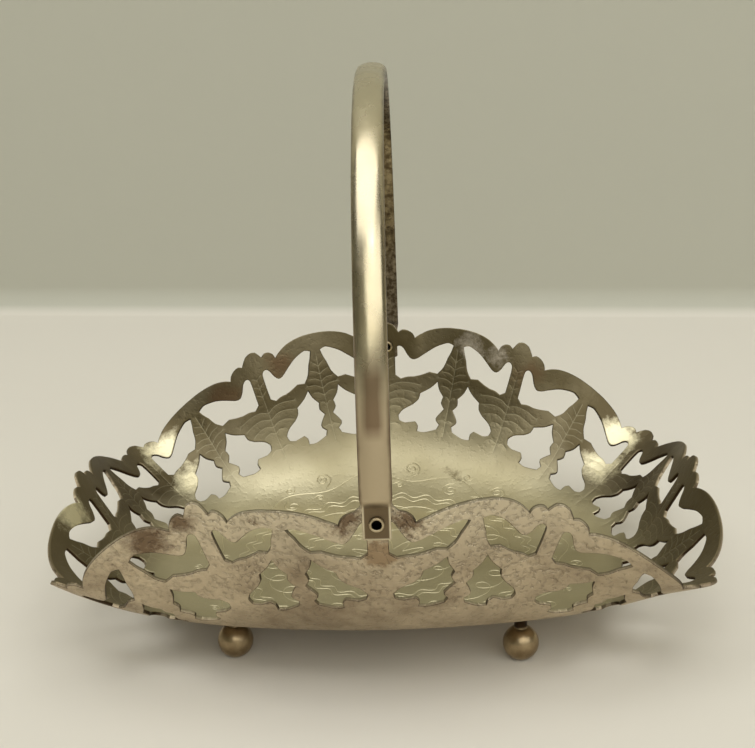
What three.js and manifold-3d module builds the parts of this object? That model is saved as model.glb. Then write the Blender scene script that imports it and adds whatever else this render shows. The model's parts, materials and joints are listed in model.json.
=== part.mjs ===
// A bonbon basket: a pierced twelve-lobed dish pressed up at its two handle sides, standing on four
// ball feet, with a swing handle that turns on two hollow rivets.
// Sizes are in millimetres, with Z up. X runs along the dish, Y through the two rivets, and the table
// is at z = 0.

import * as THREE from 'three';
import { mergeVertices } from 'three/addons/utils/BufferGeometryUtils.js';
import Module from 'manifold-3d';

// Blank: the flat sheet before it is pressed, a little longer toward the handle sides.
const SHEET = 0.9;
const BLANK_END = 82;
const BLANK_SIDE = 85;
const LOBES = 12;

// Pressing: how far the wall leans up from level at its rim, at 0, 30, 60 and 90 degrees from the
// low ends to the handle sides, and where the bend starts and how far it runs.
const WALL_LEAN = [60, 28, 68, 71];
const BEND_START = { end: 46, side: 23 };
const BEND_RUN = { end: 20, side: 45 };
const CORNER_PULL = 3.3;        // degrees by which the rim is drawn toward the four corners
const PULL_START = 45;          // radius of the blank where that begins
const PULL_RUN = 38;

// Hand bending: how far the rim stands above or below the pressed shape at the four corners, from the
// back right one round by the left. The front left corner is the one that was bent up.
const CORNER_LIFT = [0, -1.7, 5.2, -2];
const LIFT_START = 64;          // radius of the blank where that begins
const LIFT_RUN = 20;
const LIFT_REACH = 30;          // degrees to each side of a corner

// Lugs: the lobe at each handle side, bent upright so that the handle's pad lies flat on it.
const LUG_LEAN = 88;
const LUG_HEIGHT = 10.5;        // from the bend to the lobe's tip
const LUG_BEND = 2.5;           // how sharply it bends
const LUG_HALF_WIDTH = 4.6;
const LUG_FADE = 6;             // width over which the wall beside it takes up the difference

// Running clearances
const SEAT_GAP = 0.25;          // between faces that touch on the real object
const TURN_GAP = 0.2;           // around a rivet's shank

// Feet
const BALL = 7.6;               // diameter
const BALL_FLAT = 1.3;          // radius of the worn flat that it stands on
const FOOT_RADIUS = 43;         // from the dish's centre, measured along the blank
const FOOT_TURN = -3.7;         // degrees by which the square of feet stands turned from the handle
const FOOT_NECK = 1.5;          // radius of the solder neck
const FOOT_NECK_RISE = 0.9;     // from the top of the ball to the dish

// Handle
const RIVET_BELOW_RIM = 6.2;    // along the sheet, from the tip of the lobe to the rivet
const HANDLE_TOP = 121;
const HANDLE_WIDTH = 6.2;
const HANDLE_THICK = 2.4;
const HANDLE_STEP = 1.0;        // how far the bar stands out from the pads, to pass the rim
const HANDLE_RIM = 0.9;         // the flat edge of the D section below its round back
const PAD_WIDTH = 5.0;
const PAD_HEIGHT = 5.2;
const PAD_THICK = 1.2;
const PAD_BLEND = 4.5;          // length over which the bar swells from the pad to its full section
const HANDLE_FULLNESS = 2.4;    // 2 is an ellipse, and more is squarer at the shoulders

// Rivets: a hollow eyelet, its head outside the handle and its rolled end inside the dish
const RIVET_SHANK = 2.0;
const RIVET_BORE = 1.5;
const RIVET_HEAD = 3.0;
const RIVET_HEAD_THICK = 0.45;

// Pierced border, drawn on the blank: each point is [depth below the lobes' tips, degrees from the
// stem's middle], for half of one lobe, and the other half mirrors it about the leaf's middle.
const LOBE_ANGLE = 360 / LOBES;
const CUT_REACH = 3.2;          // how far a cutter stands clear of the sheet on each side

const RIM_OUTLINE = [           // from the bump's middle to the arc's middle
  [0, 0], [0.5, 1.4], [2.7, 2.5], [2.1, 3.4], [2.6, 4.6], [4.2, 5.6], [3.1, 6.9], [1.8, 9.2],
  [1.1, 12], [0.9, 15],
];

const WING = [                  // the upper opening, between the arc, the stem and the leaf
  [5.4, 13.8], [5.1, 12.3], [6.4, 9.8], [8.5, 7.4], [9.8, 5.5], [8.9, 4.3], [6.9, 3.5],
  [6.2, 2.5], [6.9, 1.5], [13.6, 1.5], [14.9, 2.8], [14.0, 6.8], [12.9, 9.2], [13.0, 11.2],
  [9.4, 12.8],
];

const STAR = [                  // the lower opening, between the teeth of the leaves
  [15.3, 11.4], [18.5, 7.6], [20.4, 6.9], [23.1, 3.4], [24.4, 2.6], [26.3, 3.3], [26.1, 7.1],
  [28.4, 7.7], [28.8, 9.4], [27.4, 12.8], [26.3, 13.2], [24.5, 12.2], [22.1, 13.9], [19.0, 13.0],
];

// Fineness of the mesh
const GRID_TURN = 48;
const PRESS_STEPS = 48;                           // steps in which the bend is summed up
const HANDLE_STATIONS = 17;                       // on each side, above the pad's swelling
const GRID_DEPTHS = [0, LUG_HEIGHT - LUG_BEND, LUG_HEIGHT, 15, 21, 27, 33];       // rings below the rim
const GRID_FLOOR = [44, 36, 28];                  // radii of the rings inside the border

const wasm = await Module();
wasm.setup();

const rad = THREE.MathUtils.degToRad;
const smooth = (t) => t * t * (3 - 2 * t);
const clamp01 = (t) => Math.min(1, Math.max(0, t));
const mix = (a, b, t) => a + (b - a) * t;

function solidOf(geometry) {
  const bare = geometry.clone();
  bare.deleteAttribute('normal');
  bare.deleteAttribute('uv');
  const merged = mergeVertices(bare, 1e-5);
  return new wasm.Manifold(new wasm.Mesh({
    numProp: 3,
    vertProperties: new Float32Array(merged.attributes.position.array),
    triVerts: new Uint32Array(merged.index.array),
  }));
}

function geometryOf(solid) {
  const mesh = solid.getMesh();
  const geometry = new THREE.BufferGeometry();
  geometry.setAttribute('position', new THREE.BufferAttribute(new Float32Array(mesh.vertProperties), 3));
  geometry.setIndex(new THREE.BufferAttribute(new Uint32Array(mesh.triVerts), 1));
  geometry.computeVertexNormals();
  return geometry;
}

// How far round a place is from the low end, 0, to the handle side, 1.
const sideShare = (angle) => Math.sin(angle) ** 2;
const blankRadius = (angle) => mix(BLANK_END, BLANK_SIDE, sideShare(angle));

// The lean at a rim angle: a smooth curve through WALL_LEAN, mirrored at the ends and the sides.
function wallLean(angle) {
  const turn = THREE.MathUtils.euclideanModulo(THREE.MathUtils.radToDeg(angle) + 90, 180) - 90;
  const place = Math.abs(turn) / 30;
  const last = WALL_LEAN.length - 1;
  const k = Math.min(Math.floor(place), last - 1);
  const lean = (i) => WALL_LEAN[i < 0 ? -i : i > last ? 2 * last - i : i];
  const [p0, p1, p2, p3] = [lean(k - 1), lean(k), lean(k + 1), lean(k + 2)];
  const u = place - k;
  const degrees = 0.5 * (2 * p1 + (p2 - p0) * u + (2 * p0 - 5 * p1 + 4 * p2 - p3) * u ** 2
    + (3 * p1 - p0 - 3 * p2 + p3) * u ** 3);
  return rad(degrees);
}

// The slope of the pressed sheet at a radius of the blank.
function slopeAt(radius, angle) {
  const share = sideShare(angle);
  const start = mix(BEND_START.end, BEND_START.side, share);
  const run = mix(BEND_RUN.end, BEND_RUN.side, share);
  const wall = wallLean(angle) * smooth(clamp01((radius - start) / run));
  return mix(wall, rad(LUG_LEAN), lugShare(radius, angle));
}

// How far a point of the blank belongs to a lug: 1 on the lug, 0 on the plain wall.
function lugShare(radius, angle) {
  const up = (radius - (BLANK_SIDE - LUG_HEIGHT)) / LUG_BEND;
  const aside = (Math.abs(radius * Math.cos(angle)) - LUG_HALF_WIDTH) / LUG_FADE;
  return smooth(clamp01(up)) * (1 - smooth(clamp01(aside)));
}

// How far a point of the blank was lifted by the hand bending of the corners.
function cornerLift(radius, angle) {
  const outward = clamp01((radius - LIFT_START) / LIFT_RUN) ** 2;
  const degrees = THREE.MathUtils.radToDeg(angle);
  let lift = 0;
  CORNER_LIFT.forEach((height, i) => {
    const aside = THREE.MathUtils.euclideanModulo(degrees - 45 - 90 * i + 180, 360) - 180;
    lift += height * Math.cos(Math.min(1, Math.abs(aside) / LIFT_REACH) * Math.PI / 2) ** 2;
  });
  return lift * outward;
}

// Where a point of the blank's middle layer comes to lie: the sheet keeps its length outward.
function pressedMiddle(radius, angle) {
  let out = 0;
  let up = 0;
  const step = radius / PRESS_STEPS;
  for (let i = 0; i < PRESS_STEPS; i++) {
    const slope = slopeAt((i + 0.5) * step, angle);
    out += Math.cos(slope) * step;
    up += Math.sin(slope) * step;
  }
  const pull = rad(CORNER_PULL) * smooth(clamp01((radius - PULL_START) / PULL_RUN));
  const turn = angle + pull * Math.sin(4 * angle) / Math.sin(rad(120));
  return new THREE.Vector3(out * Math.cos(turn), out * Math.sin(turn), up + cornerLift(radius, angle));
}

// The same for a point at a height above the sheet's middle layer, measured square to the sheet.
function pressed(radius, angle, height) {
  const near = Math.max(radius, 1);
  const small = 0.01;
  const middle = pressedMiddle(near, angle);
  const outward = pressedMiddle(near + small, angle).sub(middle);
  const around = pressedMiddle(near, angle + small / near).sub(middle);
  const normal = outward.cross(around).normalize();
  return pressedMiddle(radius, angle).addScaledVector(normal, height);
}

// The dish's floor sits where its underside meets the necks of the feet.
const FLOOR_Z = BALL + FOOT_NECK_RISE + SEAT_GAP - pressed(FOOT_RADIUS, rad(45), -SHEET / 2).z;
function onDish(radius, angle, height = 0) {
  const point = pressed(radius, angle, height);
  point.z += FLOOR_Z;
  return point;
}

// Presses every vertex of a flat geometry whose x and y lie on the blank and z is the height above
// the sheet's middle.
function press(geometry) {
  const at = geometry.attributes.position;
  for (let i = 0; i < at.count; i++) {
    const [x, y, z] = [at.getX(i), at.getY(i), at.getZ(i)];
    const point = onDish(Math.hypot(x, y), Math.atan2(y, x), z);
    at.setXYZ(i, point.x, point.y, point.z);
  }
  return geometry;
}

// A plain disc on the blank, larger than the rim, with rings fine enough to bend.
function flatDisc() {
  const overhang = 1;
  const ring = (radiusAt) => Array.from({ length: GRID_TURN }, (_, i) => {
    const angle = (i + 0.5) / GRID_TURN * 2 * Math.PI;
    return [radiusAt(angle) * Math.cos(angle), radiusAt(angle) * Math.sin(angle)];
  });
  const rings = [ring((a) => blankRadius(a) + overhang)];
  for (const depth of GRID_DEPTHS.slice(1)) rings.push(ring((a) => blankRadius(a) - depth));
  for (const radius of GRID_FLOOR) rings.push(ring(() => radius));
  const points = [];
  const faces = [];
  for (const height of [SHEET / 2, -SHEET / 2]) {
    for (const one of rings) for (const [x, y] of one) points.push(x, y, height);
    points.push(0, 0, height);
  }
  const perFace = rings.length * GRID_TURN + 1;
  const vertex = (side, r, i) => side * perFace + r * GRID_TURN + (i % GRID_TURN);
  const add = (side, a, b, c) => (side === 0 ? faces.push(a, b, c) : faces.push(a, c, b));
  for (const side of [0, 1]) {
    for (let i = 0; i < GRID_TURN; i++) {
      for (let r = 0; r + 1 < rings.length; r++) {
        add(side, vertex(side, r, i), vertex(side, r, i + 1), vertex(side, r + 1, i + 1));
        add(side, vertex(side, r, i), vertex(side, r + 1, i + 1), vertex(side, r + 1, i));
      }
      const middle = side * perFace + perFace - 1;
      const last = rings.length - 1;
      add(side, vertex(side, last, i), vertex(side, last, i + 1), middle);
    }
  }
  for (let i = 0; i < GRID_TURN; i++) {
    faces.push(vertex(0, 0, i), vertex(1, 0, i), vertex(1, 0, i + 1));
    faces.push(vertex(0, 0, i), vertex(1, 0, i + 1), vertex(0, 0, i + 1));
  }
  const geometry = new THREE.BufferGeometry();
  geometry.setAttribute('position', new THREE.Float32BufferAttribute(points, 3));
  geometry.setIndex(faces);
  return geometry;
}

// A point of the border on the blank: depth below the lobes' tips, and an angle in degrees.
function borderPoint(depth, degrees) {
  const angle = rad(degrees);
  const radius = blankRadius(angle) - depth;
  return new THREE.Vector2(radius * Math.cos(angle), radius * Math.sin(angle));
}

// A cutter through the sheet, on an outline in the half of a lobe before its leaf, or mirrored after it.
function throughCut(outline, lobe, mirrored) {
  const stem = lobe * LOBE_ANGLE;
  const points = outline.map(([depth, degrees]) => borderPoint(depth,
    stem + (mirrored ? LOBE_ANGLE - degrees : degrees)));
  const shape = new THREE.Shape(points);
  const flat = new THREE.ExtrudeGeometry(shape, { depth: 2 * CUT_REACH, bevelEnabled: false });
  return solidOf(press(flat.translate(0, 0, -CUT_REACH)));
}

// The sheet outside half of one lobe's rim. It runs a little past both ends, into its neighbours.
function rimWaste() {
  const outside = -2.5;
  const past = 0.4;
  const half = LOBE_ANGLE / 2;
  const first = RIM_OUTLINE[0][0];
  const last = RIM_OUTLINE.at(-1)[0];
  return [[first, -past], ...RIM_OUTLINE, [last, half + past], [outside, half + past],
    [outside, half * 0.67], [outside, half * 0.33], [outside, -past]];
}

// The rivets' places: the lug is flat between the two grid lines beside its middle.
const RIVET_PLACE = onDish(BLANK_SIDE - RIVET_BELOW_RIM, Math.PI / 2 - Math.PI / GRID_TURN);
const HINGE_Y = RIVET_PLACE.y;
const HINGE_Z = RIVET_PLACE.z;

// A rivet's hole through the dish and the handle, straight along Y.
function rivetHole(side) {
  const radius = RIVET_SHANK / 2 + TURN_GAP;
  const rod = new THREE.CylinderGeometry(radius, radius, 8, 24);
  return solidOf(rod.translate(0, side * HINGE_Y, HINGE_Z));
}

function dish() {
  let solid = solidOf(press(flatDisc()));
  const waste = [];
  for (let lobe = 0; lobe < LOBES; lobe++) {
    for (const mirrored of [false, true]) {
      for (const outline of [rimWaste(), WING, STAR]) waste.push(throughCut(outline, lobe, mirrored));
    }
  }
  for (const side of [-1, 1]) waste.push(rivetHole(side));
  for (const cutter of waste) solid = solid.subtract(cutter);
  return geometryOf(solid);
}

const LUG_SLANT = 1 / Math.tan(rad(LUG_LEAN));          // the lug leans a little from the upright pad
const PAD_INNER = HINGE_Y + SHEET / 2 + RIVET_BELOW_RIM * LUG_SLANT + SEAT_GAP;

// The inner face of the hoop, from the front pad's lower end over the top to the back pad's: x runs
// along Y of the basket and y upward.
function handleLine() {
  const rise = HANDLE_TOP - HANDLE_THICK - HANDLE_STEP - HINGE_Z;
  const bow = 2 / HANDLE_FULLNESS;
  const half = [new THREE.Vector2(PAD_INNER, HINGE_Z - PAD_HEIGHT / 2)];
  for (let i = 0; i < 60; i++) {
    const t = i / 60 * Math.PI / 2;
    half.push(new THREE.Vector2(PAD_INNER * Math.cos(t) ** bow, HINGE_Z + rise * Math.sin(t) ** bow));
  }
  const front = half.map((p) => new THREE.Vector2(-p.x, p.y));
  const top = new THREE.Vector2(0, HINGE_Z + rise);
  return new THREE.SplineCurve([...front, top, ...half.reverse()]);
}

// How far from the hoop's first end its sections lie: close together where the pads swell.
function stations(length) {
  const near = [0, PAD_HEIGHT];
  for (let i = 1; i <= 3; i++) near.push(PAD_HEIGHT + PAD_BLEND * i / 3);
  const swollen = near.at(-1);
  for (let i = 1; i < HANDLE_STATIONS; i++) near.push(mix(swollen, length / 2, i / HANDLE_STATIONS));
  return [...near, length / 2, ...near.map((run) => length - run).reverse()];
}

// A D-shaped section in its own plane: x across the bar, y outward from its flat face.
function dSection(width, thick, edge) {
  const points = [new THREE.Vector2(-width / 2, 0), new THREE.Vector2(width / 2, 0)];
  const steps = 8;
  for (let i = 0; i <= steps; i++) {
    const t = i / steps * Math.PI;
    points.push(new THREE.Vector2(width / 2 * Math.cos(t), edge + (thick - edge) * Math.sin(t)));
  }
  return points;
}

function handle() {
  const line = handleLine();
  const length = line.getLength();
  const sections = stations(length).map((run) => {
    const p = line.getPointAt(run / length);
    const along = line.getTangentAt(run / length);
    const out = new THREE.Vector2(-along.y, along.x);
    const fromEnd = Math.min(run, length - run);
    const swell = smooth(clamp01((fromEnd - PAD_HEIGHT) / PAD_BLEND));
    const section = dSection(mix(PAD_WIDTH, HANDLE_WIDTH, swell), mix(PAD_THICK, HANDLE_THICK, swell),
      mix(PAD_THICK * 0.8, HANDLE_RIM, swell));
    const step = HANDLE_STEP * swell;
    return section.map((q) => new THREE.Vector3(q.x, p.x + out.x * (q.y + step), p.y + out.y * (q.y + step)));
  });
  let solid = solidOf(loft(sections));
  for (const side of [-1, 1]) solid = solid.subtract(rivetHole(side));
  return geometryOf(solid);
}

// A closed solid through a row of equal rings of points.
function loft(rings) {
  const points = rings.flat().flatMap((p) => [p.x, p.y, p.z]);
  const n = rings[0].length;
  const faces = [];
  for (let r = 0; r + 1 < rings.length; r++) {
    for (let i = 0; i < n; i++) {
      const a = r * n + i;
      const b = r * n + (i + 1) % n;
      faces.push(a, b + n, b, a, a + n, b + n);
    }
  }
  for (let i = 1; i + 1 < n; i++) {
    const end = (rings.length - 1) * n;
    faces.push(0, i, i + 1, end, end + i + 1, end + i);
  }
  const geometry = new THREE.BufferGeometry();
  geometry.setAttribute('position', new THREE.Float32BufferAttribute(points, 3));
  geometry.setIndex(faces);
  return geometry;
}

// A hollow rivet on the Y axis. Its head lies outside the pad and its rolled end inside the dish.
function rivet(side) {
  const padFace = PAD_INNER + PAD_THICK + SEAT_GAP;
  const dishFace = HINGE_Y - SHEET / 2 - RIVET_HEAD / 2 * LUG_SLANT - SEAT_GAP;
  const profile = new THREE.Path();
  profile.moveTo(RIVET_BORE / 2, dishFace - RIVET_HEAD_THICK);
  profile.lineTo(RIVET_HEAD / 2 - 0.3, dishFace - RIVET_HEAD_THICK);
  profile.quadraticCurveTo(RIVET_HEAD / 2, dishFace - RIVET_HEAD_THICK, RIVET_HEAD / 2, dishFace);
  profile.lineTo(RIVET_SHANK / 2, dishFace);
  profile.lineTo(RIVET_SHANK / 2, padFace);
  profile.lineTo(RIVET_HEAD / 2, padFace);
  profile.quadraticCurveTo(RIVET_HEAD / 2, padFace + RIVET_HEAD_THICK,
    RIVET_HEAD / 2 - 0.3, padFace + RIVET_HEAD_THICK);
  profile.lineTo(RIVET_BORE / 2, padFace + RIVET_HEAD_THICK);
  profile.closePath();
  const turned = new THREE.LatheGeometry(profile.getPoints(3), 20);
  if (side < 0) turned.rotateZ(Math.PI);
  turned.translate(0, 0, HINGE_Z);
  return geometryOf(solidOf(turned));
}

// A ball foot, standing on its worn flat. Its solder neck ends on the sloping underside of the dish.
function foot(sx, sy) {
  const corner = Math.atan2(sy, sx) + rad(FOOT_TURN);
  const under = onDish(FOOT_RADIUS, corner, -SHEET / 2 - SEAT_GAP);
  const up = onDish(FOOT_RADIUS, corner, SHEET / 2).sub(under).normalize();
  const radius = BALL / 2;
  const flatAngle = Math.asin(BALL_FLAT / radius);
  const neckAngle = Math.PI - Math.asin(FOOT_NECK / radius);
  const middle = radius * Math.cos(flatAngle);
  const profile = [new THREE.Vector2(0, 0)];
  const steps = 9;
  for (let i = 0; i <= steps; i++) {
    const t = mix(flatAngle, neckAngle, i / steps);
    profile.push(new THREE.Vector2(radius * Math.sin(t), middle - radius * Math.cos(t)));
  }
  const neckTop = under.z;
  profile.push(new THREE.Vector2(FOOT_NECK, neckTop), new THREE.Vector2(0, neckTop));
  const turned = new THREE.LatheGeometry(profile, 18).rotateX(Math.PI / 2);
  const at = turned.attributes.position;
  for (let i = 0; i < at.count; i++) {
    const [x, y, z] = [at.getX(i), at.getY(i), at.getZ(i)];
    const slope = z > neckTop - 1e-3 ? (x * up.x + y * up.y) / up.z : 0;
    at.setXYZ(i, x + under.x, y + under.y, z - slope);
  }
  return geometryOf(solidOf(turned));
}

function metal(color, roughness) {
  return new THREE.MeshStandardMaterial({ color, roughness, metalness: 1 });
}

function piece(name, geometry, material) {
  const mesh = new THREE.Mesh(geometry, material);
  mesh.name = name;
  return mesh;
}

const basket = new THREE.Group();
const body = new THREE.Group();
const wornPlate = metal('#b4ab92', 0.42);
const polished = metal('#c9c0a4', 0.22);
const darkBall = metal('#a49470', 0.3);

body.add(piece('dish', dish(), wornPlate));
body.add(piece('hinge_rivet_front', rivet(-1), polished));
body.add(piece('hinge_rivet_back', rivet(1), polished));
for (const [end, sx] of [['left', -1], ['right', 1]]) {
  for (const [side, sy] of [['front', -1], ['back', 1]]) {
    body.add(piece(`ball_foot_${side}_${end}`, foot(sx, sy), darkBall));
  }
}
basket.add(body, piece('handle', handle(), polished));

export default basket;
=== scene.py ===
# %% [markdown]
# # A bonbon basket in worn silver plate
#
# The basket is one pierced sheet, pressed up at two sides, with a swing handle on two hollow rivets
# and four ball feet. The imported model gives every place and size, in metres with Z up, so each piece
# below is built where the model says and needs no fitting.

# %% The imported model
import json
import math

import bmesh
import bpy
import numpy as np
from mathutils import Matrix, Vector
from mathutils.geometry import delaunay_2d_cdt

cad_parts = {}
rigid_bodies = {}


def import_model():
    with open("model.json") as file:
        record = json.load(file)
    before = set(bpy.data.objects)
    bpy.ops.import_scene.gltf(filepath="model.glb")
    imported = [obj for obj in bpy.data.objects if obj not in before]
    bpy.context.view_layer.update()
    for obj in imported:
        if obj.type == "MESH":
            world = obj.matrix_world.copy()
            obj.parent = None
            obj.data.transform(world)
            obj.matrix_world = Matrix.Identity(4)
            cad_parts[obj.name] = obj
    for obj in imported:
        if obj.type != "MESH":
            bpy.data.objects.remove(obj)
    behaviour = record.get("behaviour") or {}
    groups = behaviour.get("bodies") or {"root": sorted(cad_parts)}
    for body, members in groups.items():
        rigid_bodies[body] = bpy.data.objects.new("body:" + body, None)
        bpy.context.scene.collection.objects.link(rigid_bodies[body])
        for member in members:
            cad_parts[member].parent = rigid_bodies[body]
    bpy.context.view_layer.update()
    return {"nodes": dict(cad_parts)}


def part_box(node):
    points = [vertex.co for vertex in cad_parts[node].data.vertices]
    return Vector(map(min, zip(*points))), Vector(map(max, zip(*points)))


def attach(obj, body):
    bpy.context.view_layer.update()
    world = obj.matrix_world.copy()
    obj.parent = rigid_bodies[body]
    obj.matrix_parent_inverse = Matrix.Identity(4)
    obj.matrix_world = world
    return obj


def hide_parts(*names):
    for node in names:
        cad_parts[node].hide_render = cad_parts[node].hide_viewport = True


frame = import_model()
print("nodes:", sorted(frame["nodes"]))

MM = 0.001

# %% [markdown]
# ## The camera
#
# The photograph looks down on the basket from a little above the handle. The place, the three turns
# and the lens come from a fit of the rim's lobes, the feet and the rivet to the picture.
# The turn about the line of sight is small: the camera was held just off level.

# %% Camera
CAMERA_PLACE = Vector((9.70, -323.80, 153.08)) * MM
YAW, PITCH, ROLL = -0.0324, -0.2985, -0.0364  # radians: to the left, down, and its right side low
FOCAL_PIXELS, PICTURE_PIXELS, SENSOR = 1528.1, 755, 36  # the lens and the picture in pixels, the sensor in mm


def placed(name, data):
    """A new object in the scene, at the origin."""
    made = bpy.data.objects.new(name, data)
    bpy.context.scene.collection.objects.link(made)
    return made


forward = Vector((math.sin(YAW) * math.cos(PITCH), math.cos(YAW) * math.cos(PITCH), math.sin(PITCH)))
level = Vector((math.cos(YAW), -math.sin(YAW), 0))
upright = level.cross(forward)
right = level * math.cos(ROLL) + upright * math.sin(ROLL)
above = upright * math.cos(ROLL) - level * math.sin(ROLL)

lens = bpy.data.cameras.new("camera")
lens.sensor_fit = "HORIZONTAL"
lens.sensor_width = SENSOR
lens.lens = FOCAL_PIXELS / PICTURE_PIXELS * SENSOR
lens.clip_start, lens.clip_end = 0.01, 50  # metres
camera = placed("camera", lens)
turn = Matrix((right, above, -forward)).transposed()
camera.matrix_world = Matrix.Translation(CAMERA_PLACE) @ turn.to_4x4()
bpy.context.scene.camera = camera
bpy.context.scene.view_settings.view_transform = "Standard"
print("lens", round(lens.lens, 1), "mm")

# %% [markdown]
# ## The floor and the light
#
# The basket stands on a plain pale table before a grey-green wall. Bare metal shows only what it
# reflects, so the surroundings are part of its finish. A large soft panel overhead gives the light on
# the floor of the dish, a window to the right gives the strip on the handle, and the rest is a dim even
# room. The bright patches at the ends of the border are painted highlights. The table and the wall could
# be two planes, but one sheet with a tight bend leaves no hard line between them.

# %% Table and wall
def sweep(width, front, back, rise, radius):
    """A sheet that lies flat, bends up in a quarter circle and stands behind the object, in a plain room."""
    line = [(front, 0.0)]
    line += [(back - radius + radius * math.sin(t), radius - radius * math.cos(t))
             for t in np.linspace(0, math.pi / 2, 25)]
    line.append((back, rise))
    points = [(x, y, z) for y, z in line for x in (-width / 2, width / 2)]
    faces = [(i, i + 1, i + 3, i + 2) for i in range(0, len(points) - 2, 2)]
    corners = [(-width / 2, back), (-width / 2, front), (width / 2, front), (width / 2, back)]
    for (x0, y0), (x1, y1) in zip(corners[1:], corners):  # three more walls, far off, that face the basket
        faces.append(tuple(range(len(points), len(points) + 4)))
        points += [(x0, y0, 0), (x1, y1, 0), (x1, y1, rise), (x0, y0, rise)]
    mesh = bpy.data.meshes.new("table_and_wall")
    mesh.from_pydata(points, [], faces)
    mesh.shade_smooth()
    return placed("table_and_wall", mesh)


floor = sweep(width=6.0, front=-2.0, back=0.255, rise=2.5, radius=0.01)
floor.rotation_euler.z = -0.117  # the wall stood a little askew to the basket
print("table and wall:", len(floor.data.polygons), "faces")

# %% [markdown]
# ### Their paint
#
# One paint covers both, and the height above the table picks its tone. Table and wall shine a little
# for the camera and for reflections only, so that they look pale without more light on the object.
# Their back is clear, so that the basket can also be seen from behind the wall and from below the
# table. Every finish further on is built like this one, by a small function that adds a node to the
# tree and links it to the nodes before it.

# %% The paint
def linear(hex_code):
    """An sRGB colour written as six hex digits, turned to the linear colour that Blender works in."""
    channels = [int(hex_code[i:i + 2], 16) / 255 for i in (0, 2, 4)]
    return tuple(c / 12.92 if c <= 0.04045 else ((c + 0.055) / 1.055) ** 2.4 for c in channels) + (1.0,)


def feed(tree, node, inputs):
    """Gives inputs, in order or by name or number, a plain value, a socket, or a list of sockets."""
    for key, value in inputs.items() if isinstance(inputs, dict) else enumerate(inputs):
        if isinstance(value, (list, bpy.types.NodeSocket)):
            for socket in value if isinstance(value, list) else [value]:
                tree.links.new(socket, node.inputs[key])
        else:
            node.inputs[key].default_value = value


def add(tree, kind, inputs=(), **settings):
    """Adds a node with its settings and links and gives back its outputs. A short kind is a shader node."""
    node = tree.nodes.new(kind if "Node" in kind else "ShaderNode" + kind)
    for name, value in settings.items():
        setattr(node, name, value)
    feed(tree, node, inputs)
    return node.outputs


def new_finish(name):
    """A new material with its tree, its shader and the place on the object that patterns go by."""
    finish = bpy.data.materials.new(name)
    finish.use_nodes = True
    tree = finish.node_tree
    return finish, tree, tree.nodes["Principled BSDF"], add(tree, "TexCoord")["Object"]


GLOW = 0.03  # of its own colour, to the camera and in reflections
BEND = (0.0003, 0.003)  # heights in metres where the table turns to wall

paint, tree, shader, place = new_finish("matt_wall_and_table_paint")
height = add(tree, "SeparateXYZ", {0: place})[2]
wall = add(tree, "MapRange", (height, *BEND))[0]
tone = add(tree, "Mix", {0: wall, 6: linear("dad5ca"), 7: linear("bbbaac")}, data_type="RGBA")[2]
rays = add(tree, "LightPath")
seen = add(tree, "Math", (rays["Is Camera Ray"], rays["Is Glossy Ray"]), operation="MAXIMUM")[0]
glow = add(tree, "Math", (seen, GLOW), operation="MULTIPLY")[0]
feed(tree, shader, {"Base Color": tone, "Roughness": 0.85, "Specular IOR Level": 0.2,
                    "Emission Color": tone, "Emission Strength": glow})
back_side = add(tree, "NewGeometry")["Backfacing"]
clear = add(tree, "BsdfTransparent")[0]
one_sided = add(tree, "MixShader", {0: back_side, 1: shader.outputs[0], 2: clear})[0]
feed(tree, tree.nodes["Material Output"], {"Surface": one_sided})
floor.data.materials.append(paint)
print(paint.name, "has", len(tree.nodes), "nodes")

# %% [markdown]
# ### The lamps
#
# The shadow in the photograph has no edge, so the light came from large soft sources. A picture of a
# room could light the metal too, but two plain rectangles can be moved until the bright patches lie
# where they do in the photograph. The panel's middle is a little to the left and in front.

# %% Lamps and the room
def lamp(name, place, aim, size, watts, colour):
    """A soft rectangle of light at a place, turned to what it lights. Places and sizes are in metres."""
    light = bpy.data.lights.new(name, "AREA")
    light.shape = "RECTANGLE"
    light.size, light.size_y = size
    light.energy = watts
    light.color = linear(colour)[:3]
    holder = placed(name, light)
    holder.location = place
    holder.rotation_euler = (Vector(aim) - Vector(place)).to_track_quat("-Z", "Y").to_euler()


lamp("ceiling_panel", (-0.1, -0.15, 1.6), aim=(-0.05, 0, 0.05), size=(2.0, 2.1), watts=28, colour="fffffc")
lamp("window", (0.55, -1.2, 0.95), aim=(0, 0, 0.07), size=(2.1, 1.0), watts=11.5, colour="fffffa")

world = bpy.data.worlds.new("room")
world.use_nodes = True
tree = world.node_tree
feed(tree, tree.nodes["Background"], {"Color": linear("c8c6bd"), "Strength": 0.25})
bpy.context.scene.world = world

# %% [markdown]
# ## The blank: one lobe drawn flat
#
# The dish began as a flat disc of sheet brass. Its border of leaves was pierced with a press tool,
# then the disc was engraved, and only then pressed into shape. This script works in the same order.
# The border has twelve lobes, and each is the same half lobe turned and mirrored, so only half of one
# is drawn. The drawing is a set of outlines, each point given as the depth below the lobe's tip in
# millimetres and the degrees from the middle of the stem. A third value marks a sharp corner; a curve
# flows through the other points.

# %% Drawing one half lobe
BLANK = 85.0  # radius of the drawing, to the lobes' tips, in mm

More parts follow.
